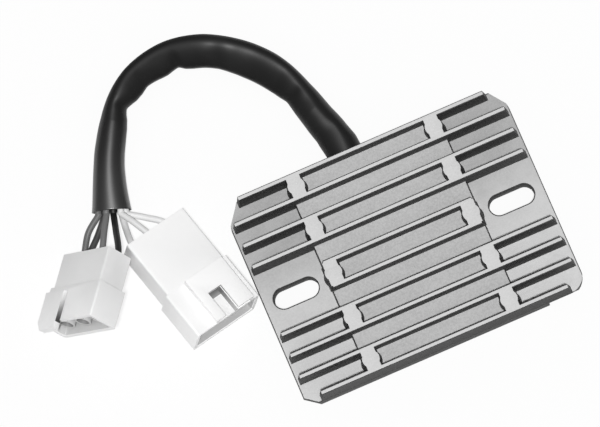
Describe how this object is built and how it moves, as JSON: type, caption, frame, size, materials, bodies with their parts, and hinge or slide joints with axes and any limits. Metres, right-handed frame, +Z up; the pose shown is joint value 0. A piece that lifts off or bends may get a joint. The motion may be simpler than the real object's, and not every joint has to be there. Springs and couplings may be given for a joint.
{
  "type": "voltage regulator rectifier",
  "caption": "Finned die-cast regulator rectifier with slotted mounting ears, potted circuit and a short sleeved harness ending in two blade plug housings.",
  "frame": {"origin": "centre of the casting's mounting face, under the middle of its base plate", "axes": "+X along the fins, +Y across the fins to the side where the harness leaves, +Z up through the fins"},
  "size_m": [0.1719, 0.1323, 0.0314],
  "materials": {
    "cast_aluminium": "blasted as-cast surface, slightly smoother on fin tips and pads",
    "resin": "black potting epoxy, satin",
    "substrate": "fired alumina",
    "device_body": "moulded black epoxy",
    "copper_bar": "copper strip",
    "board": "green laminate",
    "can": "drawn can",
    "tinned_brass": "tin plated",
    "sleeve": "black vinyl sleeve, glossy",
    "pale_wire": "pale wire insulation",
    "grey_wire": "mid grey wire insulation",
    "dark_wire": "dark wire insulation",
    "white_nylon": "moulded white nylon",
    "natural_nylon": "moulded natural nylon, milky"
  },
  "bodies": {
    "root": {"heat_sink": "cast_aluminium", "potting_resin": "resin", "ceramic_substrate": "substrate", "thyristor_1": "device_body", "thyristor_2": "device_body", "thyristor_3": "device_body", "diode_1": "device_body", "diode_2": "device_body", "diode_3": "device_body", "positive_bus": "copper_bar", "negative_bus": "copper_bar", "control_board": "board", "control_chip": "device_body", "capacitor": "can", "link_pins": "tinned_brass", "harness_sleeve": "sleeve", "phase_wire_1": "pale_wire", "phase_wire_2": "pale_wire", "phase_wire_3": "pale_wire", "battery_wire_1": "grey_wire", "battery_wire_2": "grey_wire", "battery_wire_3": "dark_wire", "battery_wire_4": "dark_wire", "long_housing": "white_nylon", "short_housing": "natural_nylon", "phase_terminal_1": "tinned_brass", "phase_terminal_2": "tinned_brass", "phase_terminal_3": "tinned_brass", "battery_terminal_1": "tinned_brass", "battery_terminal_2": "tinned_brass", "battery_terminal_3": "tinned_brass"}
  },
  "joints": []
}
